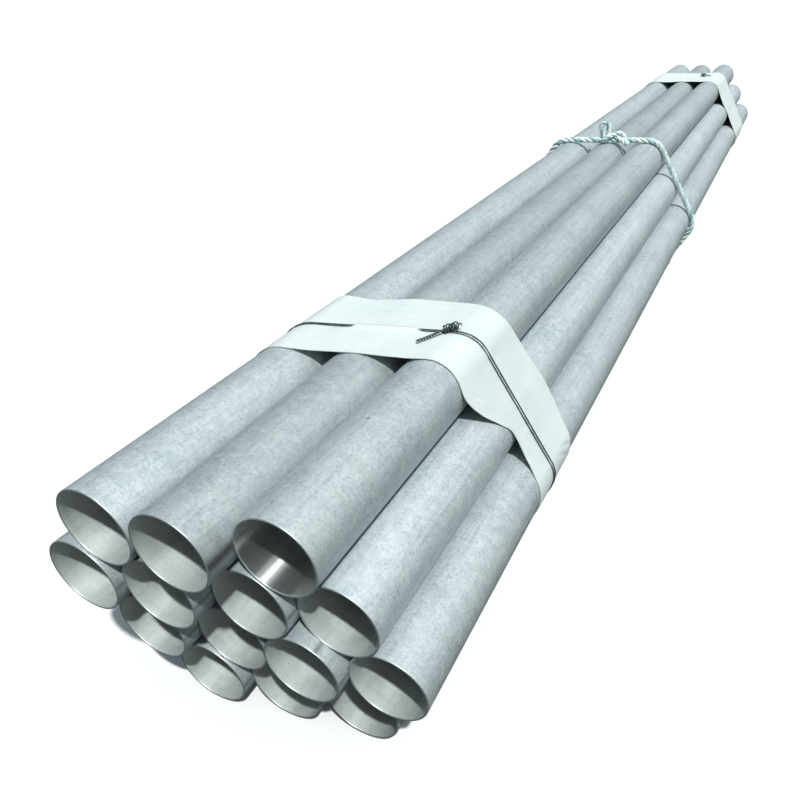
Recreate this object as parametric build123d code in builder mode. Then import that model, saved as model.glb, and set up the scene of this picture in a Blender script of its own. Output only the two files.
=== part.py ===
from build123d import *
import math
import os

os.makedirs("parts", exist_ok=True)

# ---- driving dimensions (mm), +Y runs along the pipes away from the front ends, +Z up ----
pipe_od = 159.0            # outside diameter of every pipe
pipe_wall = 4.0            # wall thickness
pipe_length = 5800.0       # stock length that fits a short freight container
end_deburr = 0.6           # broken edge on both lips of a cut end
pitch = 159.2              # centre distance in the hexagonal pack (0.2 mm of air)

band_thickness = 5.0       # folded cloth of the wraps
wire_d = 3.2               # tie wire
strand_half = 3.5          # half the distance between the two strands of a tie
channel_half = 10.0        # half width of the channel that the wires press into the cloth
channel_floor = 1.6        # cloth left under the wires
rope_d = 25.0              # tied rope
knot_r = 9.5               # rope drawn tight in its knot, radius
bight_r = 14.0             # bend of the standing bight
bight_leg = 64.0           # length of the bight's legs

near_edge = (520.0, 0.19, -0.13)    # near wrap, front edge: y at the top middle, slope in x, slope in z
near_back = (820.0, 0.20, 0.00)     # near wrap, back edge
near_wire = (655.0, 0.25, 0.06)     # wire on the near wrap
wire_bend = 78.0                    # bend of the near wire at the corner pipes
far_edge = (4770.0, 0.30, 0.00)     # far wrap, front edge
far_back = (5240.0, 0.30, 0.00)     # far wrap, back edge
far_wire = (5030.0, 0.30, 0.00)     # wire on the far wrap
rope_line = (2735.0, 0.28, 0.00)    # rope round the middle
rope_bend = 86.0                    # bend of the rope at the corner pipes

# row from the bottom, place in the row (in pitches), how far the front end is set back
pipes = {
    "pipe_01": (3, 0.5, -55.0),
    "pipe_02": (3, 1.5, -52.0),
    "pipe_03": (3, 2.5, 7.0),
    "pipe_04": (2, 3.0, 34.0),
    "pipe_05": (1, 3.5, 40.0),
    "pipe_06": (2, 0.0, -60.0),
    "pipe_07": (2, 1.0, -40.0),
    "pipe_08": (2, 2.0, 5.0),
    "pipe_09": (1, 2.5, 9.0),
    "pipe_10": (0, 3.0, 62.0),
    "pipe_11": (1, 0.5, -24.0),
    "pipe_12": (1, 1.5, 15.0),
    "pipe_13": (0, 2.0, 38.0),
    "pipe_14": (0, 1.0, 10.0),
}

# ---- derived values ----
R = pipe_od / 2
row_rise = pitch * math.sqrt(3) / 2
base = band_thickness                       # the pipes lie on the ties
offsets = [p[2] for p in pipes.values()]
y_mid = (min(offsets) + max(offsets) + pipe_length) / 2
z_crest = base + 2 * R + 3 * row_rise       # top of the upper row
wire_r = wire_d / 2
rope_r = rope_d / 2


def centre(name):
    row, place, _ = pipes[name]
    return ((place - 1.75) * pitch, base + R + row * row_rise)


corner_names = ["pipe_01", "pipe_03", "pipe_05", "pipe_10", "pipe_14", "pipe_06"]


def corners(raise_bottom=0.0):
    out = []
    for n in corner_names:
        x, z = centre(n)
        out.append((x, z + raise_bottom if n in ("pipe_10", "pipe_14") else z))
    return out


def loop_arcs(cs, off):
    """Arc start, middle and end at each corner of the tight loop round the bundle."""
    n = len(cs)
    normals = []
    for i in range(n):
        dx, dz = cs[(i + 1) % n][0] - cs[i][0], cs[(i + 1) % n][1] - cs[i][1]
        d = math.hypot(dx, dz)
        normals.append((-dz / d, dx / d))
    arcs = []
    for i in range(n):
        a, b = normals[i - 1], normals[i]
        m = (a[0] + b[0], a[1] + b[1])
        k = math.hypot(*m)
        arcs.append([(cs[i][0] + off * v[0], cs[i][1] + off * v[1]) for v in (a, (m[0] / k, m[1] / k), b)])
    return arcs


def section_plane(y):
    """Plane across the bundle: local x is +X, local y is +Z."""
    return Plane(origin=(0, y, 0), x_dir=(1, 0, 0), z_dir=(0, -1, 0))


def loop_lines(arcs):
    n = len(arcs)
    for i in range(n):
        s, m, e = arcs[i]
        ThreePointArc(s, m, e)
        Line(e, arcs[(i + 1) % n][0])


# ---- pipes ----
for name, (row, place, set_back) in pipes.items():
    cx, cz = centre(name)
    y0 = set_back - y_mid
    with BuildPart() as pipe:
        with BuildSketch(section_plane(y0)):
            with Locations((cx, cz)):
                Circle(R)
                Circle(R - pipe_wall, mode=Mode.SUBTRACT)
        extrude(amount=-pipe_length)
        chamfer(pipe.edges().filter_by(GeomType.CIRCLE), length=end_deburr)
    pipe.part.label = name
    export_step(pipe.part, "parts/" + name + ".step")

# ---- wire ties: two strands sunk in a pressed channel of the cloth, twisted pigtail on top ----
wire_off = R + channel_floor + 0.05 + wire_r
z_wire = z_crest + wire_off - R                # strand centre line over the upper row
z_coil = z_wire + 5.85


def tube(path, r, frenet=False):
    with BuildSketch(Plane(origin=path @ 0, z_dir=path % 0)) as round_section:
        Circle(r)
    sweep(sections=round_section.sketch, path=path, is_frenet=frenet)


def tie_knot(x, y, along, tail, tail_length, turns):
    """A coil over the strands and two wires twisted into a tail that lies over the cloth."""
    k = math.hypot(along[0], along[1])
    ax = (along[0] / k, along[1] / k, 0)
    start = (x - 2.5 * turns * ax[0], y - 2.5 * turns * ax[1], z_coil)
    with BuildLine() as coil:
        Helix(5.0, 5.0 * turns, 5.5, center=start, direction=ax)
    tube(coil.wire(), wire_r, True)
    for lead in (0, 180):
        with BuildLine() as twist:
            Helix(15.0, tail_length, 1.5, center=(0, 0, 0), direction=(0, 0, 1))
        tail_plane = Plane(origin=(x, y, z_coil), z_dir=(tail[0], tail[1], 0))
        tube(tail_plane.location * Rot(0, 0, lead) * twist.wire(), wire_r, True)


def slanted(coeffs, shift=0.0):
    """Plane y = y0 + a x + b (z - z_crest) across the bundle."""
    return Plane(origin=(0, coeffs[0] - y_mid + shift, z_crest), x_dir=(1, coeffs[1], 0), z_dir=(-coeffs[1], 1, -coeffs[2]))


def loop_corners(cs, off):
    """Where the straight runs of the tight loop would meet."""
    out = []
    for i, (s, m, e) in enumerate(loop_arcs(cs, off)):
        ux, uz = (m[0] - cs[i][0]) / off, (m[1] - cs[i][1]) / off
        k = off / ((s[0] - cs[i][0]) / off * ux + (s[1] - cs[i][1]) / off * uz)
        out.append((cs[i][0] + ux * k, cs[i][1] + uz * k))
    return out


def in_plane(coeffs, shift, points):
    """Local coordinates, in a slanted plane, of points given as x and z."""
    pl = slanted(coeffs, shift)
    out = []
    for x, z in points:
        v = pl.to_local_coords(Vector(x, coeffs[0] - y_mid + shift + coeffs[1] * x + coeffs[2] * (z - z_crest), z))
        out.append((v.X, v.Y))
    return out


def wire_loops(coeffs):
    for side in (-strand_half, strand_half):
        with BuildLine(slanted(coeffs, side)) as strand:
            FilletPolyline(*in_plane(coeffs, side, loop_corners(corners(), wire_off)), radius=wire_bend, close=True)
        tube(strand.wire(), wire_r)


with BuildPart() as near_wire_tie:
    wire_loops(near_wire)
    kx = 114.0
    tie_knot(kx, near_wire[0] - y_mid + near_wire[1] * kx, (1, near_wire[1]), (-0.47, -0.88), 92.0, 4)
near_wire_tie.part.label = "near_wire_tie"
export_step(near_wire_tie.part, "parts/near_wire_tie.step")

with BuildPart() as far_wire_tie:
    wire_loops(far_wire)
    fx = 60.0
    tie_knot(fx, far_wire[0] - y_mid + far_wire[1] * fx, (1, far_wire[1]), (0.85, -0.5), 60.0, 4)
far_wire_tie.part.label = "far_wire_tie"
export_step(far_wire_tie.part, "parts/far_wire_tie.step")

# ---- cloth wraps: tight bands that bridge from pipe to pipe ----
outer_arcs = loop_arcs(corners(), R + band_thickness)
inner_arcs = loop_arcs(corners(), R + 0.1)
channel_arcs = loop_arcs(corners(), R + channel_floor)


def ring(y, width, outer, inner):
    with BuildSketch(section_plane(y)) as band_section:
        with BuildLine():
            loop_lines(outer)
        make_face()
        with BuildLine():
            loop_lines(inner)
        make_face(mode=Mode.SUBTRACT)
    extrude(to_extrude=band_section.sketch, amount=-width)


over_arcs = loop_arcs(corners(), R + band_thickness + 3)



def wrap(start, width, front, back, wire):
    """A band cut slanting at both edges, with the channel that its wires press in."""
    with BuildPart() as channel:
        ring(start, width, over_arcs, channel_arcs)
        split(bisect_by=slanted(wire, -channel_half), keep=Keep.TOP)
        split(bisect_by=slanted(wire, channel_half), keep=Keep.BOTTOM)
    with BuildPart() as band:
        ring(start, width, outer_arcs, inner_arcs)
        split(bisect_by=slanted(front), keep=Keep.TOP)
        split(bisect_by=slanted(back), keep=Keep.BOTTOM)
        add(channel.part, mode=Mode.SUBTRACT)
    return band.part


near_wrap = wrap(380.0 - y_mid, 640.0, near_edge, near_back, near_wire)
near_wrap.label = "near_wrap"
export_step(near_wrap, "parts/near_wrap.step")

far_wrap = wrap(4560.0 - y_mid, 880.0, far_edge, far_back, far_wire)
far_wrap.label = "far_wrap"
export_step(far_wrap, "parts/far_wrap.step")

# ---- rope: one turn, pressed flat under the bundle, knotted on the upper row ----
rope_off = R + rope_r + 0.2
rope_raise = rope_off - (R + base / 2)
zr = z_crest + rope_r                 # rope centre line over the upper row
rope_plane = slanted(rope_line)


def rope_at(x, z):
    return in_plane(rope_line, 0, [(x, z)])[0]


with BuildPart() as tie_rope:
    with BuildLine(rope_plane) as turn:
        FilletPolyline(*in_plane(rope_line, 0, loop_corners(corners(rope_raise), rope_off)), radius=rope_bend, close=True)
    tube(turn.wire(), rope_r)
    # standing bight: two legs leaning to the left, with a round top
    lean = Vector(-0.2, 1, 0).normalized()
    across = Vector(1, 0.2, 0).normalized()
    foot = Vector(-58, zr - 2, 0)
    top_l = foot + lean * bight_leg
    top_r = top_l + across * (2 * bight_r)
    apex = top_l + across * bight_r + lean * bight_r
    foot_r = foot + across * (2 * bight_r)
    with BuildLine(rope_plane) as bight:
        Line(rope_at(foot.X, foot.Y), rope_at(top_l.X, top_l.Y))
        ThreePointArc(rope_at(top_l.X, top_l.Y), rope_at(apex.X, apex.Y), rope_at(top_r.X, top_r.Y))
        Line(rope_at(top_r.X, top_r.Y), rope_at(foot_r.X, foot_r.Y))
    tube(bight.wire(), knot_r)
    # crossing turn of the knot
    with BuildLine(rope_plane) as hitch:
        ThreePointArc(rope_at(-18, zr - 3), rope_at(6, zr + 26), rope_at(30, zr - 3))
    tube(hitch.wire(), knot_r)
    # short end
    ry = rope_line[0] - y_mid
    with BuildLine() as short_end:
        Line((2, ry - 3, zr + 10), (52, ry - 26, zr - 12))
    tube(short_end.wire(), knot_r)
    with BuildPart(mode=Mode.SUBTRACT):
        with Locations((0, ry, -50)):
            Box(1000, 500, 100)
        for n in pipes:
            with BuildSketch(section_plane(ry - 250)):
                with Locations(centre(n)):
                    Circle(R + 0.1)
            extrude(amount=-500)
tie_rope.part.label = "tie_rope"
export_step(tie_rope.part, "parts/tie_rope.step")
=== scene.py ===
import math

import bpy
from mathutils import Matrix, Vector, noise


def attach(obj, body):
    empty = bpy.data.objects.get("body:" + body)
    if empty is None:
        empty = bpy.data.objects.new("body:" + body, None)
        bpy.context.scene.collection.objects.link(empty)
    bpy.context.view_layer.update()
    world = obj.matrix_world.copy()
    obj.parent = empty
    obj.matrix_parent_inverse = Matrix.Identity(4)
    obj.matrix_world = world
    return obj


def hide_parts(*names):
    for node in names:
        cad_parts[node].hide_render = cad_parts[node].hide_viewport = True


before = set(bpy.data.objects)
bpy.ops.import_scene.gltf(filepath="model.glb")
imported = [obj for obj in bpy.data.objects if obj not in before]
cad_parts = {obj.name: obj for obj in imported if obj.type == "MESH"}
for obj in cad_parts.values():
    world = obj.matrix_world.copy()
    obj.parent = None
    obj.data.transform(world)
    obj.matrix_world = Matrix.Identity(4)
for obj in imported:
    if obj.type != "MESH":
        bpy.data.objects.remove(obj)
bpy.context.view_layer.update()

bpy.context.scene.view_settings.view_transform = "Standard"
bpy.context.scene.view_settings.exposure = 0.25
bpy.context.scene.view_settings.gamma = 0.82

# ---------------------------------------------------------------- dimensions (metres)
R = 0.0795
WALL = 0.004
LENGTH = 5.8
PITCH = 0.1592
BASE = 0.005
RISE = PITCH * math.sqrt(3) / 2
Y_MID = 2.901
Z_CREST = BASE + 2 * R + 3 * RISE

# row from the bottom, place in the row, set-back of the front end, tone of the steel
PIPES = {
    "pipe_01": (3, 0.5, -0.055, 1.02), "pipe_02": (3, 1.5, -0.052, 0.89), "pipe_03": (3, 2.5, 0.007, 1.00),
    "pipe_04": (2, 3.0, 0.034, 1.10), "pipe_05": (1, 3.5, 0.040, 1.03), "pipe_06": (2, 0.0, -0.060, 0.98),
    "pipe_07": (2, 1.0, -0.040, 0.96), "pipe_08": (2, 2.0, 0.005, 1.02), "pipe_09": (1, 2.5, 0.009, 1.00),
    "pipe_10": (0, 3.0, 0.062, 1.00), "pipe_11": (1, 0.5, -0.024, 0.96), "pipe_12": (1, 1.5, 0.015, 1.00),
    "pipe_13": (0, 2.0, 0.038, 0.97), "pipe_14": (0, 1.0, 0.010, 0.98),
}


def centre(name):
    row, place = PIPES[name][:2]
    return (place - 1.75) * PITCH, BASE + R + row * RISE


# ---------------------------------------------------------------- node helpers
class Net:
    """Small helper to wire a node tree."""

    def __init__(self, tree):
        self.t = tree
        tree.nodes.clear()

    def add(self, kind, **props):
        n = self.t.nodes.new(kind)
        for k, v in props.items():
            setattr(n, k, v)
        return n

    def link(self, a, b):
        self.t.links.new(a, b)

    def uv(self, name):
        return self.add("ShaderNodeUVMap", uv_map=name).outputs["UV"]

    def ramp(self, fac, stops):
        n = self.add("ShaderNodeValToRGB")
        els = n.color_ramp.elements
        while len(els) < len(stops):
            els.new(0.5)
        for e, (p, c) in zip(els, stops):
            e.position = p
            c = (c, c, c) if isinstance(c, (int, float)) else c
            e.color = (*c, 1)
        self.link(fac, n.inputs["Fac"])
        return n.outputs["Color"]

    def noise(self, vec, scale, detail=4.0, rough=0.55, dist=0.0):
        n = self.add("ShaderNodeTexNoise")
        n.inputs["Scale"].default_value = scale
        n.inputs["Detail"].default_value = detail
        n.inputs["Roughness"].default_value = rough
        n.inputs["Distortion"].default_value = dist
        self.link(vec, n.inputs["Vector"])
        return n.outputs["Fac"]

    def mapping(self, vec, scale=(1, 1, 1), loc=(0, 0, 0), rot=0.0):
        n = self.add("ShaderNodeMapping")
        n.inputs["Scale"].default_value = scale
        n.inputs["Location"].default_value = loc
        n.inputs["Rotation"].default_value = (0, 0, math.radians(rot))
        self.link(vec, n.inputs["Vector"])
        return n.outputs["Vector"]

    def math(self, op, a, b=None, clamp=False):
        n = self.add("ShaderNodeMath", operation=op, use_clamp=clamp)
        for i, v in enumerate((a, b)):
            if v is None:
                continue
            if isinstance(v, (int, float)):
                n.inputs[i].default_value = v
            else:
                self.link(v, n.inputs[i])
        return n.outputs[0]

    def mix(self, fac, a, b, blend="MIX"):
        n = self.add("ShaderNodeMix", data_type="RGBA", blend_type=blend)
        for sock, v in ((n.inputs[0], fac), (n.inputs[6], a), (n.inputs[7], b)):
            if isinstance(v, (int, float)):
                sock.default_value = v
            elif isinstance(v, tuple):
                sock.default_value = (*v, 1)
            else:
                self.link(v, sock)
        return n.outputs[2]

    def darker(self, fac, col, k):
        return self.mix(fac, col, self.mix(1.0, col, k, "MULTIPLY"))

    def bump(self, height, strength, distance, normal=None):
        n = self.add("ShaderNodeBump")
        n.inputs["Strength"].default_value = strength
        n.inputs["Distance"].default_value = distance
        self.link(height, n.inputs["Height"])
        if normal is not None:
            self.link(normal, n.inputs["Normal"])
        return n.outputs["Normal"]

    def marks(self, uv, rot, along, across, lo, hi, seed, keep_scale, keep_at):
        """Sparse thin strokes: noise stretched along one direction, kept only in some places."""
        v = self.mapping(self.mapping(uv, loc=(seed, seed * 1.7, 0), rot=rot), (1 / along, 1 / across, 1))
        line = self.ramp(self.noise(v, 1.0, 1.5, 0.5), [(lo, 0), (hi, 1)])
        keep = self.ramp(self.noise(self.mapping(uv, loc=(seed * 2.3, 0, 0)), keep_scale, 1, 0.5), [(keep_at, 0), (keep_at + 0.05, 1)])
        return self.math("MULTIPLY", line, keep)


def new_material(name):
    m = bpy.data.materials.new(name)
    m.use_nodes = True
    net = Net(m.node_tree)
    out = net.add("ShaderNodeOutputMaterial")
    bsdf = net.add("ShaderNodeBsdfPrincipled")
    net.link(bsdf.outputs[0], out.inputs["Surface"])
    return m, net, bsdf


# ---------------------------------------------------------------- materials
def steel_outside():
    m, n, b = new_material("pickled_steel")
    uv = n.uv("skin")
    # the second channel of the tone map carries the painted shade along the lines where pipes touch
    sep = n.add("ShaderNodeSeparateXYZ")
    n.link(n.uv("tone"), sep.inputs[0])
    cloud = n.noise(n.mapping(uv, (1, 0.5, 1)), 10.0, 3, 0.62, 0.5)
    patch = n.noise(uv, 46.0, 4, 0.68, 0.7)
    fine = n.noise(uv, 165.0, 3, 0.62)
    grain = n.noise(uv, 640.0, 1, 0.5)
    streak = n.noise(n.mapping(uv, (90, 1.4, 1)), 1.0, 3, 0.62)
    turn = n.noise(n.mapping(uv, (1.6, 34, 1)), 1.0, 3, 0.6)
    col = n.ramp(cloud, [(0.28, (0.478, 0.528, 0.560)), (0.50, (0.535, 0.583, 0.606)), (0.72, (0.594, 0.633, 0.646))])
    col = n.mix(n.ramp(patch, [(0.42, 0), (0.66, 0.60)]), col, (0.672, 0.712, 0.722))
    col = n.mix(n.ramp(turn, [(0.52, 0), (0.75, 0.35)]), col, (0.573, 0.600, 0.583))
    col = n.darker(n.ramp(streak, [(0.50, 0), (0.70, 0.55)]), col, (0.78, 0.81, 0.84))
    col = n.mix(n.ramp(streak, [(0.26, 0.45), (0.42, 0)]), col, (0.69, 0.73, 0.74))
    col = n.darker(n.ramp(fine, [(0.30, 0.75), (0.50, 0)]), col, (0.74, 0.77, 0.80))
    col = n.mix(n.ramp(fine, [(0.56, 0), (0.72, 0.50)]), col, (0.715, 0.75, 0.757))
    col = n.darker(n.ramp(grain, [(0.32, 0.5), (0.5, 0)]), col, (0.82, 0.84, 0.86))
    # handling marks: short strokes round the pipe, long fine ones along it, a few slanting
    round_marks = n.marks(uv, 6, 0.030, 0.0021, 0.655, 0.685, 3.1, 7.0, 0.60)
    slant_marks = n.marks(uv, 34, 0.024, 0.0020, 0.665, 0.695, 8.7, 6.0, 0.60)
    long_marks = n.marks(uv, 88, 0.20, 0.0022, 0.655, 0.70, 5.3, 4.0, 0.52)
    pale_marks = n.marks(uv, -24, 0.10, 0.0020, 0.67, 0.71, 12.9, 6.0, 0.53)
    col = n.mix(n.math("MULTIPLY", round_marks, 0.62), col, (0.12, 0.14, 0.16))
    col = n.mix(n.math("MULTIPLY", slant_marks, 0.58), col, (0.14, 0.16, 0.18))
    col = n.mix(n.math("MULTIPLY", long_marks, 0.40), col, (0.28, 0.32, 0.36))
    col = n.mix(n.math("MULTIPLY", pale_marks, 0.55), col, (0.74, 0.77, 0.78))
    # dark specks
    vor = n.add("ShaderNodeTexVoronoi")
    vor.inputs["Scale"].default_value = 21.0
    n.link(n.mapping(uv, (1, 0.7, 1)), vor.inputs["Vector"])
    speck = n.ramp(vor.outputs["Distance"], [(0.03, 1), (0.075, 0)])
    keep = n.ramp(n.noise(uv, 5.5, 1, 0.5), [(0.56, 0), (0.60, 1)])
    speck = n.math("MULTIPLY", speck, keep)
    col = n.mix(n.math("MULTIPLY", speck, 0.70), col, (0.11, 0.12, 0.14))
    # painted shade: near-black lines painted into the colour where pipes meet, standing in for the shadow in the narrow
    # gaps between them; a noise varies their strength
    gap_shade_noise = n.ramp(n.noise(n.mapping(uv, (30, 3, 1)), 1.0, 2, 0.6), [(0.3, 0.70), (0.6, 1.0)])
    col = n.mix(n.math("MULTIPLY", sep.outputs[1], gap_shade_noise), col, (0.030, 0.033, 0.037))
    tint = n.add("ShaderNodeVectorMath", operation="SCALE")
    n.link(col, tint.inputs[0])
    n.link(sep.outputs[0], tint.inputs["Scale"])
    n.link(tint.outputs[0], b.inputs["Base Color"])
    n.link(n.ramp(patch, [(0.3, 0.50), (0.75, 0.62)]), b.inputs["Roughness"])
    b.inputs["Metallic"].default_value = 0.45
    b.inputs["Specular IOR Level"].default_value = 0.4
    nrm = n.bump(patch, 0.16, 0.002)
    nrm = n.bump(fine, 0.14, 0.0008, nrm)
    nrm = n.bump(grain, 0.14, 0.0004, nrm)
    n.link(nrm, b.inputs["Normal"])
    return m


def steel_inside():
    m, n, b = new_material("pickled_bore")
    uv = n.uv("skin")
    cloud = n.noise(n.mapping(uv, (1, 0.7, 1)), 18.0, 5, 0.62, 0.4)
    fine = n.noise(uv, 190.0, 4, 0.6)
    ring = n.noise(n.mapping(uv, (3, 70, 1)), 1.0, 3, 0.5)
    streak = n.noise(n.mapping(uv, (70, 2.0, 1)), 1.0, 3, 0.55)
    col = n.ramp(cloud, [(0.3, (0.565, 0.595, 0.586)), (0.7, (0.675, 0.705, 0.692))])
    col = n.darker(n.ramp(ring, [(0.48, 0), (0.75, 0.45)]), col, (0.80, 0.82, 0.82))
    col = n.darker(n.ramp(streak, [(0.52, 0), (0.72, 0.50)]), col, (0.80, 0.82, 0.82))
    col = n.darker(n.ramp(fine, [(0.30, 0.5), (0.50, 0)]), col, (0.80, 0.82, 0.83))
    spots = n.marks(uv, 20, 0.010, 0.004, 0.70, 0.74, 4.4, 8.0, 0.55)
    col = n.mix(n.math("MULTIPLY", spots, 0.5), col, (0.20, 0.21, 0.20))
    n.link(col, b.inputs["Base Color"])
    n.link(n.ramp(cloud, [(0.3, 0.55), (0.7, 0.68)]), b.inputs["Roughness"])
    b.inputs["Metallic"].default_value = 0.58
    nrm = n.bump(cloud, 0.10, 0.002)
    nrm = n.bump(fine, 0.10, 0.0006, nrm)
    n.link(nrm, b.inputs["Normal"])
    return m


def steel_polished():
    m, n, b = new_material("polished_bore")
    uv = n.uv("skin")
    streak = n.noise(n.mapping(uv, (150, 1.2, 1)), 1.0, 4, 0.65)
    ring = n.noise(n.mapping(uv, (2, 110, 1)), 1.0, 3, 0.5)
    col = n.ramp(streak, [(0.30, (0.62, 0.655, 0.66)), (0.70, (0.80, 0.82, 0.81))])
    col = n.darker(n.ramp(ring, [(0.5, 0), (0.75, 0.35)]), col, (0.75, 0.75, 0.73))
    n.link(col, b.inputs["Base Color"])
    n.link(n.ramp(streak, [(0.3, 0.33), (0.8, 0.41)]), b.inputs["Roughness"])
    b.inputs["Metallic"].default_value = 0.93
    b.inputs["Anisotropic"].default_value = 0.85
    b.inputs["Anisotropic Rotation"].default_value = 0.25
    n.link(n.add("ShaderNodeTangent", direction_type="UV_MAP", uv_map="skin").outputs[0], b.inputs["Tangent"])
    n.link(n.bump(streak, 0.10, 0.0008), b.inputs["Normal"])
    return m


def steel_lip():
    m, n, b = new_material("cut_lip")
    uv = n.uv("skin")
    grain = n.noise(uv, 300.0, 3, 0.6)
    n.link(n.ramp(grain, [(0.3, (0.42, 0.45, 0.46)), (0.7, (0.62, 0.65, 0.65))]), b.inputs["Base Color"])
    n.link(n.ramp(grain, [(0.3, 0.34), (0.7, 0.50)]), b.inputs["Roughness"])
    b.inputs["Metallic"].default_value = 0.7
    n.link(n.bump(grain, 0.15, 0.0004), b.inputs["Normal"])
    return m


def cloth_white():
    m, n, b = new_material("white_cloth")
    uv = n.uv("cloth")
    warp = n.add("ShaderNodeTexWave", wave_type="BANDS", bands_direction="X", wave_profile="SIN")
    weft = n.add("ShaderNodeTexWave", wave_type="BANDS", bands_direction="Y", wave_profile="SIN")
    for w in (warp, weft):
        w.inputs["Scale"].default_value = 135.0
        w.inputs["Distortion"].default_value = 0.5
        w.inputs["Detail"].default_value = 1.0
        n.link(uv, w.inputs["Vector"])
    weave = n.math("MULTIPLY", warp.outputs["Fac"], weft.outputs["Fac"])
    soft = n.noise(uv, 9.0, 4, 0.55, 0.5)
    smear = n.noise(n.mapping(uv, (1.0, 2.2, 1)), 7.0, 5, 0.6, 0.6)
    col = n.ramp(soft, [(0.3, (0.600, 0.652, 0.657)), (0.65, (0.643, 0.686, 0.686))])
    col = n.mix(n.ramp(smear, [(0.56, 0), (0.80, 0.45)]), col, (0.52, 0.585, 0.605))
    col = n.mix(n.math("MULTIPLY", n.math("SUBTRACT", 1.0, weave), 0.12), col, (0.47, 0.53, 0.54))
    n.link(col, b.inputs["Base Color"])
    b.inputs["Roughness"].default_value = 0.85
    b.inputs["Sheen Weight"].default_value = 0.10
    b.inputs["Specular IOR Level"].default_value = 0.2
    nrm = n.bump(weave, 0.35, 0.0005)
    nrm = n.bump(soft, 0.25, 0.004, nrm)
    n.link(nrm, b.inputs["Normal"])
    return m


def wire_steel():
    m, n, b = new_material("tie_wire")
    co = n.add("ShaderNodeTexCoord").outputs["Object"]
    f = n.noise(co, 260.0, 4, 0.6)
    n.link(n.ramp(f, [(0.3, (0.085, 0.100, 0.115)), (0.7, (0.25, 0.28, 0.30))]), b.inputs["Base Color"])
    n.link(n.ramp(f, [(0.3, 0.36), (0.7, 0.55)]), b.inputs["Roughness"])
    b.inputs["Metallic"].default_value = 0.8
    n.link(n.bump(f, 0.2, 0.0004), b.inputs["Normal"])
    return m


def rope_fibre():
    m, n, b = new_material("rope_fibre")
    uv = n.uv("rope")                      # metres along the strand, share of its girth plus ten for each further strand
    sep = n.add("ShaderNodeSeparateXYZ")
    n.link(uv, sep.inputs[0])
    first = n.math("LESS_THAN", sep.outputs[1], 5.0)
    yarn = n.add("ShaderNodeTexWave", wave_type="BANDS", bands_direction="DIAGONAL", wave_profile="SIN")
    yarn.inputs["Scale"].default_value = 1.6
    yarn.inputs["Distortion"].default_value = 0.8
    yarn.inputs["Detail"].default_value = 2.0
    n.link(n.mapping(uv, (70, 1.6, 1)), yarn.inputs["Vector"])
    fz = n.noise(n.mapping(uv, (110, 9, 1)), 2.0, 5, 0.65)
    tracer = n.add("ShaderNodeTexWave", wave_type="BANDS", bands_direction="Y", wave_profile="SIN")
    tracer.inputs["Scale"].default_value = 0.314
    tracer.inputs["Distortion"].default_value = 1.3
    tracer.inputs["Detail"].default_value = 2.0
    n.link(n.mapping(uv, (22, 1, 1)), tracer.inputs["Vector"])
    worn = n.noise(n.mapping(uv, (9, 1.0, 1)), 2.0, 3, 0.6)
    col = n.ramp(yarn.outputs["Fac"], [(0.15, (0.62, 0.68, 0.67)), (0.6, (0.86, 0.90, 0.88))])
    # one strand is coloured nearly all round, the others carry a faint thin yarn
    broad = n.math("MULTIPLY", n.ramp(tracer.outputs["Fac"], [(0.10, 0.50), (0.60, 1)]), first)
    thin = n.math("MULTIPLY", n.ramp(tracer.outputs["Fac"], [(0.80, 0), (0.92, 1)]), 0.30)
    teal = n.math("MULTIPLY", n.math("MAXIMUM", broad, thin), n.ramp(worn, [(0.36, 0.40), (0.52, 0.85)]))
    col = n.mix(teal, col, (0.19, 0.43, 0.46))
    col = n.darker(n.ramp(fz, [(0.34, 0.7), (0.55, 0)]), col, (0.55, 0.60, 0.60))
    n.link(col, b.inputs["Base Color"])
    b.inputs["Roughness"].default_value = 0.8
    b.inputs["Sheen Weight"].default_value = 0.15
    nrm = n.bump(yarn.outputs["Fac"], 0.6, 0.0012)
    nrm = n.bump(fz, 0.5, 0.0008, nrm)
    n.link(nrm, b.inputs["Normal"])
    return m


MAT_OUT = steel_outside()
MAT_IN = steel_inside()
MAT_POL = steel_polished()
MAT_LIP = steel_lip()
MAT_CLOTH = cloth_white()
MAT_WIRE = wire_steel()
MAT_ROPE = rope_fibre()


# ---------------------------------------------------------------- mesh helper
def make_object(name, verts, faces, mats, face_mat=None, uvs=None, sharp=None):
    me = bpy.data.meshes.new(name)
    me.from_pydata(verts, [], faces)
    for m in mats:
        me.materials.append(m)
    if face_mat is not None:
        me.polygons.foreach_set("material_index", face_mat)
    for layer_name, uv in (uvs or {}).items():
        layer = me.uv_layers.new(name=layer_name)
        layer.data.foreach_set("uv", [c for pair in uv for c in pair])
    me.polygons.foreach_set("use_smooth", [True] * len(me.polygons))
    me.update()
    if sharp is not None:
        me.set_sharp_from_angle(angle=math.radians(sharp))
    ob = bpy.data.objects.new(name, me)
    bpy.context.scene.collection.objects.link(ob)
    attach(ob, "root")
    return ob


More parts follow.
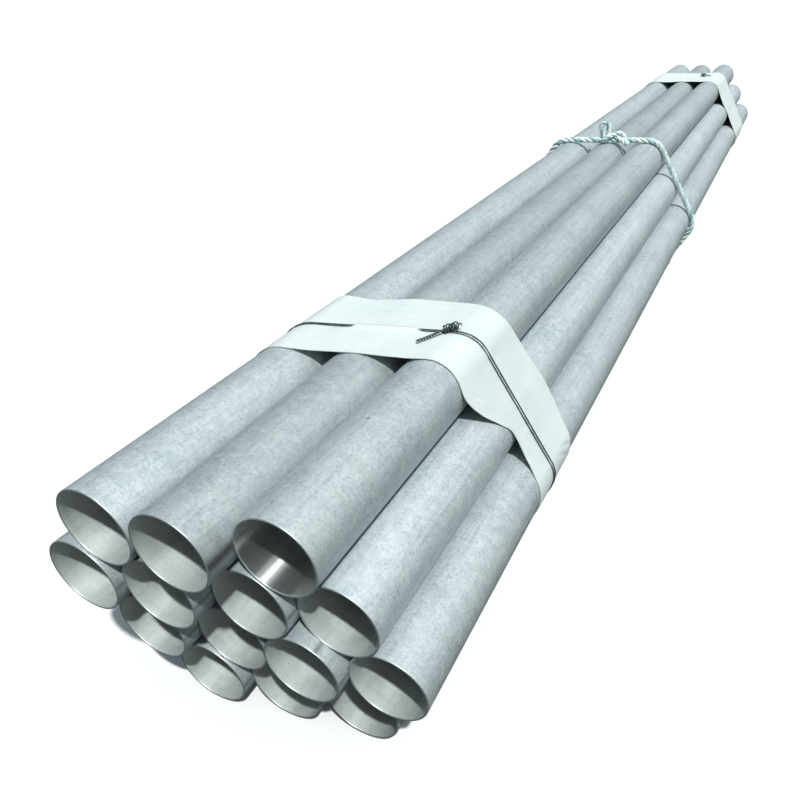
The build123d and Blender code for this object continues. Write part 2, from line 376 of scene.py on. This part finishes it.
# ---------------------------------------------------------------- pipes
SEG = 128
for idx, (name, (row, place, near, tone)) in enumerate(PIPES.items()):
    cx, cz = centre(name)
    y0 = near - Y_MID
    y1 = y0 + LENGTH
    ri = R - WALL
    half = [(R, 0.0060), (R, 0.0014), (R - 0.00012, 0.0008), (R - 0.00045, 0.0003), (R - 0.0010, 0.0),
            (ri + 0.0010, 0.0), (ri + 0.00045, 0.0003), (ri + 0.00012, 0.0008), (ri, 0.0014), (ri, 0.0060)]
    prof = [(r, y0 + d) for r, d in half]
    prof += [(ri, y0 + LENGTH * k / 6) for k in range(1, 6)]
    prof += [(r, y1 - d) for r, d in reversed(half)]
    prof += [(R, y1 - LENGTH * k / 6) for k in range(1, 6)]
    kind = []
    n = len(prof)
    for i in range(n):
        a, c = prof[i], prof[(i + 1) % n]
        if a[0] > R - 0.0001 and c[0] > R - 0.0001:
            kind.append(0)
        elif a[0] < ri + 0.0001 and c[0] < ri + 0.0001:
            kind.append(2)
        else:
            kind.append(1)
    verts = []
    for r, y in prof:
        for k in range(SEG):
            t = 2 * math.pi * k / SEG - math.pi / 2
            verts.append((cx + r * math.cos(t), y, cz + r * math.sin(t)))
    faces, fm, skin, tone_and_shade = [], [], [], []
    # painted shade: for each neighbouring pipe, the angle where it touches and how dark and wide a shade line is
    # painted there, darkest and widest between pipe_02, pipe_03 and pipe_04
    shade_neighbours = []
    for other in PIPES:
        ox, oz = centre(other)
        if other != name and math.hypot(ox - cx, oz - cz) < 1.05 * PITCH:
            weight, spread = {"pipe_02pipe_03": (0.9, 8.0), "pipe_03pipe_04": (1.0, 10.0)}.get(min(name, other) + max(name, other), (0.55, 3.0))
            shade_neighbours.append((math.atan2(oz - cz, ox - cx), weight, math.radians(spread)))
    contact_shade = []
    for k in range(SEG + 1):
        t = 2 * math.pi * k / SEG - math.pi / 2
        contact_shade.append(max(w * math.exp(-(math.remainder(t - a, 2 * math.pi) / sig) ** 2) for a, w, sig in shade_neighbours))
    ou, ov = idx * 1.37, idx * 6.41
    for i in range(n):
        j = (i + 1) % n
        ya, yb = prof[i][1] - y0, prof[j][1] - y0
        if kind[i] == 1:
            # lips: spread the texture over the small faces
            ya, yb = ya + i * 0.003, yb + (i + 1) * 0.003
        for k in range(SEG):
            q = (k + 1) % SEG
            faces.append((i * SEG + k, j * SEG + k, j * SEG + q, i * SEG + q))
            fm.append(kind[i])
            ua, ub = (2 * math.pi * R * f / SEG + ou for f in (k, k + 1))
            skin += [(ua, ya + ov), (ua, yb + ov), (ub, yb + ov), (ub, ya + ov)]
            # the steel's tone and the painted contact shade go into the tone map
            tone_and_shade += [(tone, contact_shade[k])] * 2 + [(tone, contact_shade[k + 1])] * 2
    inside = MAT_POL if name == "pipe_03" else MAT_IN
    ob = make_object("tube_" + name[-2:], verts, faces, [MAT_OUT, MAT_LIP, inside], fm, {"skin": skin, "tone": tone_and_shade})
    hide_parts(name)

# ---------------------------------------------------------------- outline of the bundle
CORNERS = [centre(n) for n in ("pipe_01", "pipe_03", "pipe_05", "pipe_10", "pipe_14", "pipe_06")]
NORMALS = []
for i in range(6):
    dx = CORNERS[(i + 1) % 6][0] - CORNERS[i][0]
    dz = CORNERS[(i + 1) % 6][1] - CORNERS[i][1]
    d = math.hypot(dx, dz)
    NORMALS.append((-dz / d, dx / d, d))
SPANS = [2, 2, 1, 2, 2, 1]          # gaps between pipes on each straight side


def hull_table(off):
    """Pieces of the tight outline, clockwise from the start of the first corner's arc."""
    out = []
    for i in range(6):
        a0 = math.atan2(NORMALS[i - 1][1], NORMALS[i - 1][0])
        a1 = math.atan2(NORMALS[i][1], NORMALS[i][0])
        if a1 > a0:
            a1 -= 2 * math.pi
        out.append(((a0 - a1) * off, "arc", (i, a0, a1)))
        out.append((NORMALS[i][2], "run", i))
    return out


def hull_point(table, off, s):
    """Point and outward normal on the outline at arc length s, and how far it is into a gap between two pipes (0..1)."""
    s %= sum(p[0] for p in table)
    for length, kind, data in table:
        if s <= length:
            break
        s -= length
    if kind == "arc":
        i, a0, a1 = data
        t = a0 + (a1 - a0) * s / length
        nx, nz = math.cos(t), math.sin(t)
        return CORNERS[i][0] + off * nx, CORNERS[i][1] + off * nz, nx, nz, 0.0
    i = data
    nx, nz, d = NORMALS[i]
    f = s / length
    x = CORNERS[i][0] + (CORNERS[(i + 1) % 6][0] - CORNERS[i][0]) * f + off * nx
    z = CORNERS[i][1] + (CORNERS[(i + 1) % 6][1] - CORNERS[i][1]) * f + off * nz
    u = (f * SPANS[i]) % 1.0
    return x, z, nx, nz, math.sin(math.pi * u)


def smooth_lookup(pts, s, total):
    """Periodic smooth interpolation of sorted (s, value) pairs."""
    s %= total
    n = len(pts)
    for i in range(n):
        a, b = pts[i], pts[(i + 1) % n]
        sa = a[0]
        sb = b[0] + (total if b[0] <= sa else 0)
        ss = s if s >= sa else s + total
        if sa <= ss <= sb:
            p, q = pts[i - 1], pts[(i + 2) % n]
            sp = p[0] - (total if p[0] > sa else 0)
            sq = q[0]
            while sq < sb:
                sq += total
            ma = (b[1] - p[1]) / (sb - sp)
            mb = (q[1] - a[1]) / (sq - sa)
            h = sb - sa
            t = (ss - sa) / h
            return ((2 * t ** 3 - 3 * t ** 2 + 1) * a[1] + (t ** 3 - 2 * t ** 2 + t) * h * ma
                    + (-2 * t ** 3 + 3 * t ** 2) * b[1] + (t ** 3 - t ** 2) * h * mb)
    return pts[0][1]


CLOTH_OFF = R + 0.0024
TABLE = hull_table(CLOTH_OFF)
TOTAL = sum(p[0] for p in TABLE)


def step(a, b, x):
    t = min(1.0, max(0.0, (x - a) / (b - a)))
    return t * t * (3 - 2 * t)


def s_of(x, z):
    """Arc length of the outline point nearest to (x, z)."""
    best = None
    for k in range(1200):
        s = TOTAL * k / 1200
        px, pz = hull_point(TABLE, CLOTH_OFF, s)[:2]
        d = (px - x) ** 2 + (pz - z) ** 2
        if best is None or d < best[0]:
            best = (d, s)
    return best[1]


def edge_table(rows):
    return sorted((s_of(x, z + BASE), y) for x, z, y in rows)


def plane_table(y0, ax, az, wobble=0.0, turns=1.7):
    out = []
    for k in range(36):
        s = TOTAL * k / 36
        x, z = hull_point(TABLE, CLOTH_OFF, s)[:2]
        out.append((s, y0 + ax * x + az * (z - Z_CREST) + wobble * math.sin(k * turns)))
    return out


def make_wrap(name, node, near_edge, far_edge, wire_line, seed, ruffle, cover, creases, folds):
    ns, nt = 480, 64
    thick = 0.0018
    outer, inner, uvs = [], [], []
    for a in range(ns):
        s = TOTAL * a / ns
        x, z, nx, nz, gap = hull_point(TABLE, CLOTH_OFF, s)
        ya, yb, yw = (smooth_lookup(t, s, TOTAL) - Y_MID for t in (near_edge, far_edge, wire_line))
        ya += 0.0030 * noise.noise(Vector((s * 9, seed, 0.3))) + 0.0012 * noise.noise(Vector((s * 31, seed, 1.3)))
        yb += 0.0040 * noise.noise(Vector((s * 8, seed, 5.3))) + 0.0015 * noise.noise(Vector((s * 29, seed, 7.3)))
        under = step(0.80, 0.97, -nz)            # pressed between pipes and floor
        over = cover(x, nz)
        for b in range(nt + 1):
            t = b / nt
            y = ya + (yb - ya) * t
            edge = min(t, 1 - t)
            dw = abs(y - yw)
            h = 0.0
            # the wire draws the cloth in, or runs under a fold of it
            h -= 0.0013 * math.exp(-(dw / 0.012) ** 2) * (1 - over)
            h += 0.0050 * math.exp(-(dw / 0.010) ** 2) * over
            # cloth bridges the gaps with a little slack
            h -= gap * (0.0009 + 0.0013 * math.exp(-edge / 0.12))
            # soft wrinkles, and tension folds running out from the wire
            h += ruffle * (0.0010 * noise.noise(Vector((s * 14, y * 5, seed))) + 0.0005 * noise.noise(Vector((s * 38, y * 9, seed + 3))))
            h += ruffle * 0.0012 * max(0.0, noise.noise(Vector((s * 60, seed + 9, y * 3)))) * math.exp(-dw / 0.06)
            # free edges lift a little
            h += ruffle * 0.0012 * math.exp(-edge / 0.035) * (0.4 + noise.noise(Vector((s * 11, seed, 2.2 if t < .5 else 6.1))))
            # folds running round the bundle
            for f0, amp, wid, wav in folds:
                c = f0 + wav * noise.noise(Vector((s * 3.1, f0 * 13, seed)))
                h += amp * math.exp(-((t - c) / wid) ** 2) * (0.65 + 0.5 * noise.noise(Vector((s * 5, f0 * 7, seed + 1))))
            for cs, cy, ang, length, width, depth in creases:
                ds = s - cs
                dy = y - (cy - Y_MID)
                al = ds * math.cos(ang) + dy * math.sin(ang)
                ac = -ds * math.sin(ang) + dy * math.cos(ang)
                h -= depth * math.exp(-(al / length) ** 2) * math.exp(-(ac / width) ** 2)
            h = max(h, -0.0014 - 0.004 * gap)
            ho, hi = h + thick / 2, h - thick / 2
            # below the bundle the folded cloth fills the space down to the floor, with a channel for the wire
            ho += under * (0.0025 - 0.0026 * math.exp(-(dw / 0.009) ** 4) - ho)
            hi += under * (-0.0021 - hi)
            outer.append((x + nx * ho, y, z + nz * ho))
            inner.append((x + nx * hi, y, z + nz * hi))
            uvs.append((s, y))
    verts = outer + inner
    off = len(outer)
    faces, uv = [], []
    row = nt + 1

    def quad(*ids):
        faces.append(ids)
        us = [uvs[i % off] for i in ids]
        if max(u[0] for u in us) - min(u[0] for u in us) > TOTAL / 2:
            us = [(u[0] + TOTAL if u[0] < TOTAL / 2 else u[0], u[1]) for u in us]
        uv.extend(us)

    for a in range(ns):
        c = (a + 1) % ns
        for b in range(nt):
            quad(a * row + b, a * row + b + 1, c * row + b + 1, c * row + b)
            quad(off + a * row + b, off + c * row + b, off + c * row + b + 1, off + a * row + b + 1)
        quad(a * row, c * row, off + c * row, off + a * row)
        quad(a * row + nt, off + a * row + nt, off + c * row + nt, c * row + nt)
    ob = make_object(name, verts, faces, [MAT_CLOTH], uvs={"cloth": uv}, sharp=50)
    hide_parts(node)
    return ob


near_front = edge_table([(-0.360, 0.300, 0.470), (-0.219, 0.574, 0.478), (-0.062, 0.577, 0.512), (0.100, 0.577, 0.544), (0.150, 0.571, 0.552),
                         (0.191, 0.536, 0.551), (0.212, 0.499, 0.545), (0.239, 0.453, 0.571), (0.263, 0.411, 0.612),
                         (0.284, 0.374, 0.644), (0.325, 0.303, 0.641), (0.355, 0.250, 0.631), (0.300, 0.080, 0.600),
                         (0.000, 0.000, 0.570), (-0.250, 0.080, 0.520)])
near_rear = edge_table([(-0.360, 0.300, 0.775), (-0.223, 0.573, 0.774), (-0.142, 0.577, 0.780), (-0.080, 0.577, 0.806), (0.037, 0.577, 0.838),
                        (0.102, 0.577, 0.841), (0.148, 0.571, 0.838), (0.179, 0.551, 0.842), (0.216, 0.493, 0.862),
                        (0.283, 0.376, 0.880), (0.316, 0.319, 0.880), (0.360, 0.236, 0.864), (0.300, 0.080, 0.850),
                        (0.000, 0.000, 0.815), (-0.250, 0.080, 0.785)])
near_creases = [
    (s_of(0.206, 0.515), 0.588, 0.50, 0.020, 0.0035, 0.0020), (s_of(0.214, 0.500), 0.578, 0.65, 0.024, 0.0030, 0.0018),
    (s_of(0.222, 0.486), 0.590, 0.80, 0.018, 0.0030, 0.0016), (s_of(0.368, 0.250), 0.835, 1.20, 0.030, 0.0050, 0.0022),
    (s_of(0.372, 0.235), 0.810, 1.05, 0.035, 0.0045, 0.0020), (s_of(-0.150, 0.582), 0.520, 0.30, 0.030, 0.0030, 0.0010),
    (s_of(0.020, 0.582), 0.560, 0.20, 0.030, 0.0030, 0.0010), (s_of(-0.060, 0.582), 0.745, 0.25, 0.060, 0.0040, 0.0012),
    (s_of(0.060, 0.582), 0.790, 0.30, 0.060, 0.0040, 0.0012), (s_of(0.300, 0.352), 0.800, 0.60, 0.045, 0.0045, 0.0014),
]


def near_cover(x, nz):
    """Where a fold hides the wire: the middle of the upper row."""
    return step(0.96, 0.999, nz) * (step(-0.125, -0.095, x) - step(0.030, 0.060, x))


def far_cover(x, nz):
    """The same on the far wrap: top and right side, open round the twist."""
    return step(-0.55, -0.25, nz) * step(-0.30, -0.22, x) * (1 - math.exp(-((x - 0.062) / 0.034) ** 2) * step(0.96, 0.999, nz))


near_cloth = make_wrap("near_cloth", "near_wrap", near_front, near_rear, plane_table(0.655, 0.25, 0.06), 3.7, 1.0, near_cover, near_creases, [])

far_cloth = make_wrap("far_cloth", "far_wrap", plane_table(4.772, 0.30, 0, 0.006), plane_table(5.236, 0.30, 0, 0.008, 2.3), plane_table(5.030, 0.30, 0), 11.2, 1.2,
                      far_cover, [], [(0.10, 0.0062, 0.050, 0.03), (0.28, 0.0050, 0.040, 0.04), (0.42, 0.0052, 0.035, 0.03), (0.72, 0.0056, 0.050, 0.04), (0.89, 0.0064, 0.045, 0.03)])


# ---------------------------------------------------------------- routes (NURBS) and tubes along them
def route(name, pts, cyclic=False, res=12):
    """Points read from a smooth spline with these control points."""
    cu = bpy.data.curves.new(name, "CURVE")
    cu.dimensions = "3D"
    sp = cu.splines.new("NURBS")
    sp.points.add(len(pts) - 1)
    for p, c in zip(sp.points, pts):
        p.co = (*c, 1.0)
    sp.order_u = 3
    sp.use_cyclic_u = cyclic
    if not cyclic:
        sp.use_endpoint_u = True
    sp.resolution_u = res
    ob = bpy.data.objects.new(name, cu)
    bpy.context.scene.collection.objects.link(ob)
    dg = bpy.context.evaluated_depsgraph_get()
    me = bpy.data.meshes.new_from_object(ob.evaluated_get(dg))
    co = [v.co.copy() for v in me.vertices]
    bpy.data.objects.remove(ob)
    bpy.data.curves.remove(cu)
    bpy.data.meshes.remove(me)
    return co


def frames(pts, cyclic):
    n = len(pts)
    tan = []
    for i in range(n):
        a = pts[i - 1] if (i or cyclic) else pts[i]
        b = pts[(i + 1) % n] if (i < n - 1 or cyclic) else pts[i]
        tan.append((b - a).normalized())
    up = Vector((0, 0, 1)) if abs(tan[0].z) < 0.8 else Vector((0, 1, 0))
    u = (up - tan[0] * up.dot(tan[0])).normalized()
    out = []
    for i in range(n):
        if i:
            axis = tan[i - 1].cross(tan[i])
            if axis.length > 1e-9:
                u = Matrix.Rotation(tan[i - 1].angle(tan[i]), 3, axis.normalized()) @ u
        u = (u - tan[i] * u.dot(tan[i])).normalized()
        out.append((tan[i], u, tan[i].cross(u)))
    if cyclic:
        # spread the leftover twist evenly round the loop
        axis = tan[-1].cross(tan[0])
        last = out[-1][1].copy()
        if axis.length > 1e-9:
            last = Matrix.Rotation(tan[-1].angle(tan[0]), 3, axis.normalized()) @ last
        err = math.atan2(last.dot(out[0][2]), last.dot(out[0][1]))
        fixed = []
        for i, (t, a, b) in enumerate(out):
            w = -err * i / n
            fixed.append((t, a * math.cos(w) + b * math.sin(w), b * math.cos(w) - a * math.sin(w)))
        out = fixed
    return out


class Build:
    def __init__(self):
        self.v, self.f, self.uv = [], [], []

    def tube(self, pts, radius, seg, cyclic=False, shift=0.0):
        fr = frames(pts, cyclic)
        base = len(self.v)
        n = len(pts)
        acc = 0.0
        dist = []
        for i in range(n):
            if i:
                acc += (pts[i] - pts[i - 1]).length
            dist.append(acc)
            t, a, b = fr[i]
            for k in range(seg):
                w = 2 * math.pi * k / seg
                self.v.append(tuple(pts[i] + (a * math.cos(w) + b * math.sin(w)) * radius))
        for i in range(n if cyclic else n - 1):
            j = (i + 1) % n
            d0 = dist[i]
            d1 = dist[j] if j > i else dist[i] + (pts[j] - pts[i]).length
            for k in range(seg):
                q = (k + 1) % seg
                self.f.append((base + i * seg + k, base + i * seg + q, base + j * seg + q, base + j * seg + k))
                va, vb = k / seg + shift, (k + 1) / seg + shift
                self.uv += [(d0, va), (d0, vb), (d1, vb), (d1, va)]
        if not cyclic:
            for i, sign in ((0, -1), (n - 1, 1)):
                ring = [base + i * seg + k for k in range(seg)]
                self.v.append(tuple(pts[i] + fr[i][0] * (radius * 0.35 * sign)))
                c = len(self.v) - 1
                for k in range(seg):
                    q = (k + 1) % seg
                    self.f.append((ring[k], ring[q], c) if sign > 0 else (ring[q], ring[k], c))
                    self.uv += [(dist[i], k / seg + shift)] * 3

    def strands(self, pts, radius, pitch, cyclic=False, seg=12, phase=0.0, count=3, tight=0.52):
        fr = frames(pts, cyclic)
        n = len(pts)
        acc = [0.0]
        for i in range(1, n):
            acc.append(acc[-1] + (pts[i] - pts[i - 1]).length)
        total = acc[-1] + ((pts[0] - pts[-1]).length if cyclic else 0.0)
        turns = max(1, round(total / pitch)) if cyclic else total / pitch
        for k in range(count):
            line = []
            for i in range(n):
                w = phase + 2 * math.pi * (k / count + turns * acc[i] / total)
                t, a, b = fr[i]
                line.append(pts[i] + (a * math.cos(w) + b * math.sin(w)) * radius * (1 - tight))
            self.tube(line, radius * tight, seg, cyclic, 10.0 * k)

    def clear(self, floor=0.0004, pipes=0.0002):
        """Keep every point above the floor and outside the pipes, so that a soft line is pressed flat where it is pinched."""
        out = []
        cs = [centre(n) for n in PIPES]
        for x, y, z in self.v:
            for cx, cz in cs:
                dx, dz = x - cx, z - cz
                d = math.hypot(dx, dz)
                if d < R + pipes:
                    if dz < -0.6 * R and cz < 0.1:
                        z = cz - math.sqrt(max(0.0, (R + pipes) ** 2 - dx * dx))
                    else:
                        x, z = cx + dx / d * (R + pipes), cz + dz / d * (R + pipes)
            out.append((x, y, max(z, floor)))
        self.v = out

    def make(self, name, mat, uv_name):
        return make_object(name, self.v, self.f, [mat], uvs={uv_name: self.uv})


def coil_points(c, axis, r, pitch, turns, phase=0.0):
    ax = Vector(axis).normalized()
    u = Vector((0, 0, 1))
    u = (u - ax * u.dot(ax)).normalized()
    v = ax.cross(u)
    out = []
    count = int(turns * 18)
    for i in range(count + 1):
        w = 2 * math.pi * i / 18 + phase
        rr = r * (1.0 + 0.12 * math.sin(i * 0.23) + 0.05 * math.sin(i * 0.9))
        out.append(Vector(c) + ax * pitch * (i / 18 - turns / 2) + (u * math.cos(w) + v * math.sin(w)) * rr)
    return out


# ---------------------------------------------------------------- near wire tie
WIRE_R = 0.0014
wb = Build()
near_a = [(-0.2954, -2.3276, 0.4981), (-0.2472, -2.3106, 0.5816), (-0.1508, -2.2865, 0.5816),
          (0.0712, -2.2310, 0.5816), (0.1676, -2.2089, 0.5816), (0.2158, -2.2018, 0.4981),
          (0.3268, -2.1856, 0.3059), (0.3750, -2.1786, 0.2224), (0.3268, -2.1956, 0.1389),
          (0.2954, -2.2067, 0.0845), (0.2472, -2.2238, 0.0017), (0.1508, -2.2479, 0.0017),
          (-0.0712, -2.3014, 0.0017), (-0.1676, -2.3255, 0.0017), (-0.2158, -2.3325, 0.0845),
          (-0.3268, -2.3488, 0.2767), (-0.3750, -2.3558, 0.3602), (-0.3268, -2.3387, 0.4437)]
near_b = [(-0.2954, -2.3216, 0.4981), (-0.2472, -2.3046, 0.5816), (-0.1508, -2.2805, 0.5816),
          (0.0712, -2.2250, 0.5816), (0.1676, -2.1989, 0.5816), (0.2158, -2.1918, 0.4981),
          (0.3268, -2.1756, 0.3059), (0.3750, -2.1686, 0.2224), (0.3268, -2.1856, 0.1389),
          (0.2954, -2.1967, 0.0845), (0.2472, -2.2138, 0.0017), (0.1508, -2.2379, 0.0017),
          (-0.0712, -2.2954, 0.0017), (-0.1676, -2.3195, 0.0017), (-0.2158, -2.3265, 0.0845),
          (-0.3268, -2.3428, 0.2767), (-0.3750, -2.3498, 0.3602), (-0.3268, -2.3327, 0.4437)]
for tag, pts in (("a", near_a), ("b", near_b)):
    wb.tube(route("route_near_" + tag, pts, True, 14), WIRE_R, 10, True)
KX, KY, KZ = 0.114, -2.2175, Z_CREST + 0.0065
wb.tube(coil_points((KX - 0.002, KY, KZ + 0.0070), (0.62, 0.78, 0.06), 0.0082, 0.0066, 5.2), WIRE_R, 10)
wb.tube(coil_points((KX + 0.004, KY + 0.004, KZ + 0.0068), (0.85, 0.45, -0.05), 0.0058, 0.0070, 3.6, 2.0), WIRE_R, 10)
wb.tube(route("route_knot_end", [(KX + 0.008, KY + 0.012, KZ + 0.012), (KX + 0.014, KY + 0.020, KZ + 0.015), (KX + 0.020, KY + 0.014, KZ + 0.010)]), WIRE_R, 10)
tail = route("route_tail", [(KX + 0.004, KY + 0.010, KZ + 0.010), (KX - 0.006, KY - 0.010, KZ + 0.009),
                            (KX - 0.022, KY - 0.040, KZ + 0.005), (KX - 0.036, KY - 0.066, KZ + 0.0035),
                            (KX - 0.044, KY - 0.082, KZ + 0.0045)], res=16)
wb.strands(tail, 0.0032, 0.015, count=2, tight=0.5, seg=10)
wb.clear()
near_wires = wb.make("near_wires", MAT_WIRE, "wire")
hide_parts("near_wire_tie")

# ---------------------------------------------------------------- far wire tie
wf = Build()
far_a = [(-0.2954, 2.0369, 0.4981), (-0.2472, 2.0513, 0.5816), (-0.1508, 2.0803, 0.5816),
         (0.0712, 2.1469, 0.5816), (0.1676, 2.1758, 0.5816), (0.2158, 2.1902, 0.4981),
         (0.3268, 2.2235, 0.3059), (0.3750, 2.2380, 0.2224), (0.3268, 2.2235, 0.1389),
         (0.2954, 2.2141, 0.0845), (0.2472, 2.1997, 0.0017), (0.1508, 2.1707, 0.0017),
         (-0.0712, 2.1041, 0.0017), (-0.1676, 2.0752, 0.0017), (-0.2158, 2.0608, 0.0845),
         (-0.3268, 2.0275, 0.2767), (-0.3750, 2.0130, 0.3602), (-0.3268, 2.0275, 0.4437)]
far_b = [(-0.2954, 2.0439, 0.4981), (-0.2472, 2.0583, 0.5816), (-0.1508, 2.0873, 0.5816),
         (0.0712, 2.1539, 0.5816), (0.1676, 2.1828, 0.5816), (0.2158, 2.1972, 0.4981),
         (0.3268, 2.2305, 0.3059), (0.3750, 2.2450, 0.2224), (0.3268, 2.2305, 0.1389),
         (0.2954, 2.2211, 0.0845), (0.2472, 2.2067, 0.0017), (0.1508, 2.1777, 0.0017),
         (-0.0712, 2.1111, 0.0017), (-0.1676, 2.0822, 0.0017), (-0.2158, 2.0678, 0.0845),
         (-0.3268, 2.0345, 0.2767), (-0.3750, 2.0200, 0.3602), (-0.3268, 2.0345, 0.4437)]
for tag, pts in (("a", far_a), ("b", far_b)):
    wf.tube(route("route_far_" + tag, pts, True, 14), WIRE_R, 10, True)
FX, FY = 0.060, 2.147
wf.tube(coil_points((FX, FY, KZ + 0.0070), (0.9, 0.3, 0.05), 0.0080, 0.0066, 5.0), WIRE_R, 10)
wf.tube(coil_points((FX - 0.003, FY - 0.002, KZ + 0.0066), (0.7, 0.6, -0.05), 0.0056, 0.0070, 3.2, 1.0), WIRE_R, 10)
tail = route("route_far_tail", [(FX - 0.004, FY + 0.006, KZ + 0.009), (FX + 0.012, FY - 0.008, KZ + 0.010),
                                (FX + 0.034, FY - 0.020, KZ + 0.006), (FX + 0.052, FY - 0.031, KZ + 0.005)], res=16)
wf.strands(tail, 0.0032, 0.015, count=2, tight=0.5, seg=10)
wf.clear()
far_wires = wf.make("far_wires", MAT_WIRE, "wire")
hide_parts("far_wire_tie")

# ---------------------------------------------------------------- rope
RR = 0.0125
ZR = Z_CREST + 0.0125
RY = 2.735 - Y_MID


def ry(x):
    return RY + 0.28 * x


rb = Build()
ring = [(-0.3053, -0.2220, 0.4988), (-0.2520, -0.2195, 0.5905), (-0.1470, -0.2050, 0.5905),
        (0.0670, -0.1472, 0.5905), (0.1730, -0.1176, 0.5905), (0.2253, -0.1029, 0.4988),
        (0.3313, -0.0732, 0.3158), (0.3857, -0.0580, 0.2210), (0.3283, -0.0741, 0.1282),
        (0.3043, -0.0808, 0.0882), (0.2500, -0.0960, 0.0035), (0.1480, -0.1246, 0.0035),
        (-0.0680, -0.1850, 0.0035), (-0.1710, -0.2139, 0.0035), (-0.2253, -0.2210, 0.0902),
        (-0.3303, -0.2240, 0.2672), (-0.3857, -0.2260, 0.3600), (-0.3323, -0.2240, 0.4528)]
rb.strands(route("route_rope", ring, True, 40), RR, 0.080, True)
bight = [(-0.058, -0.182, ZR - 0.004), (-0.061, -0.183, ZR + 0.020), (-0.070, -0.185, ZR + 0.042), (-0.074, -0.185, ZR + 0.064),
         (-0.057, -0.181, ZR + 0.080), (-0.040, -0.177, ZR + 0.060), (-0.040, -0.177, ZR + 0.040),
         (-0.040, -0.177, ZR + 0.018), (-0.034, -0.175, ZR - 0.006)]
rb.strands(route("route_bight", bight, res=12), 0.0105, 0.070)
hitch = [(-0.060, -0.196, ZR + 0.000), (-0.046, -0.196, ZR + 0.014), (-0.022, -0.180, ZR + 0.022), (-0.002, -0.168, ZR + 0.030),
         (0.020, -0.159, ZR + 0.026), (0.030, -0.156, ZR + 0.008), (0.030, -0.156, ZR - 0.006)]
rb.strands(route("route_hitch", hitch, res=12), 0.0110, 0.066, phase=0.7)
short = [(-0.006, -0.168, ZR + 0.012), (0.010, -0.174, ZR + 0.010), (0.030, -0.182, ZR + 0.000), (0.052, -0.192, ZR - 0.010)]
rb.strands(route("route_short_end", short, res=14), 0.0108, 0.066, phase=1.5)
rb.clear()
rope = rb.make("rope_tied", MAT_ROPE, "rope")
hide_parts("tie_rope")

# ---------------------------------------------------------------- floor, light, camera
me = bpy.data.meshes.new("floor")
S = 150.0
me.from_pydata([(-S, -S, 0), (S, -S, 0), (S, S, 0), (-S, S, 0)], [], [(0, 1, 2, 3)])
floor = bpy.data.objects.new("floor", me)
bpy.context.scene.collection.objects.link(floor)
mf, nf, bf = new_material("pale_floor")
bf.inputs["Base Color"].default_value = (0.78, 0.78, 0.78, 1)
bf.inputs["Roughness"].default_value = 0.9
bf.inputs["Specular IOR Level"].default_value = 0.1
me.materials.append(mf)
# the pale floor takes shadows but throws no light back up
floor.visible_diffuse = False
floor.visible_glossy = False

world = bpy.data.worlds.new("studio")
bpy.context.scene.world = world
world.use_nodes = True
wn = Net(world.node_tree)
wo = wn.add("ShaderNodeOutputWorld")
bg = wn.add("ShaderNodeBackground")
tc = wn.add("ShaderNodeTexCoord").outputs["Generated"]
sep = wn.add("ShaderNodeSeparateXYZ")
wn.link(tc, sep.inputs[0])
lean = wn.math("ADD", wn.math("MULTIPLY", sep.outputs["Z"], 0.30), wn.math("MULTIPLY", sep.outputs["X"], 0.26))
sky = wn.ramp(wn.math("ADD", lean, 0.5), [(0.28, (0.10, 0.14, 0.185)), (0.55, (0.18, 0.225, 0.265)), (0.76, (0.42, 0.465, 0.482)), (0.90, (0.52, 0.55, 0.555))])
up = wn.ramp(wn.math("ADD", wn.math("MULTIPLY", sep.outputs["Z"], 0.5), 0.5), [(0.485, 0), (0.515, 1)])
wn.link(wn.mix(up, (0.075, 0.085, 0.09), sky), bg.inputs["Color"])
bg.inputs["Strength"].default_value = 1.0
wn.link(bg.outputs[0], wo.inputs["Surface"])


def sun(name, direction, strength, colour, angle):
    li = bpy.data.lights.new(name, "SUN")
    li.energy = strength
    li.color = colour
    li.angle = math.radians(angle)
    ob = bpy.data.objects.new(name, li)
    ob.rotation_mode = "QUATERNION"
    ob.rotation_quaternion = Vector(direction).to_track_quat("-Z", "Y")
    bpy.context.scene.collection.objects.link(ob)


sun("key", (-0.44, 0.40, -1.0), 3.2, (0.97, 0.985, 0.95), 2.0)

cam = bpy.data.cameras.new("photo_camera")
cam.sensor_width = 36.0
cam.lens = 680.17 / 800 * 36
cam.shift_x = -0.05
cam.shift_y = 0.05
cam.clip_start = 0.02
cam.clip_end = 500
az, el, roll = (math.radians(v) for v in (26.301, 34.602, -1.901))
d = Vector((-math.sin(az) * math.cos(el), math.cos(az) * math.cos(el), -math.sin(el)))
r = d.cross(Vector((0, 0, 1))).normalized()
u = r.cross(d)
r2 = r * math.cos(roll) + u * math.sin(roll)
u2 = u * math.cos(roll) - r * math.sin(roll)
co = bpy.data.objects.new("photo_camera", cam)
rot = Matrix((r2, u2, -d)).transposed()
co.matrix_world = Matrix.Translation((0.69255, -3.46192, 1.23847)) @ rot.to_4x4()
bpy.context.scene.collection.objects.link(co)
bpy.context.scene.camera = co
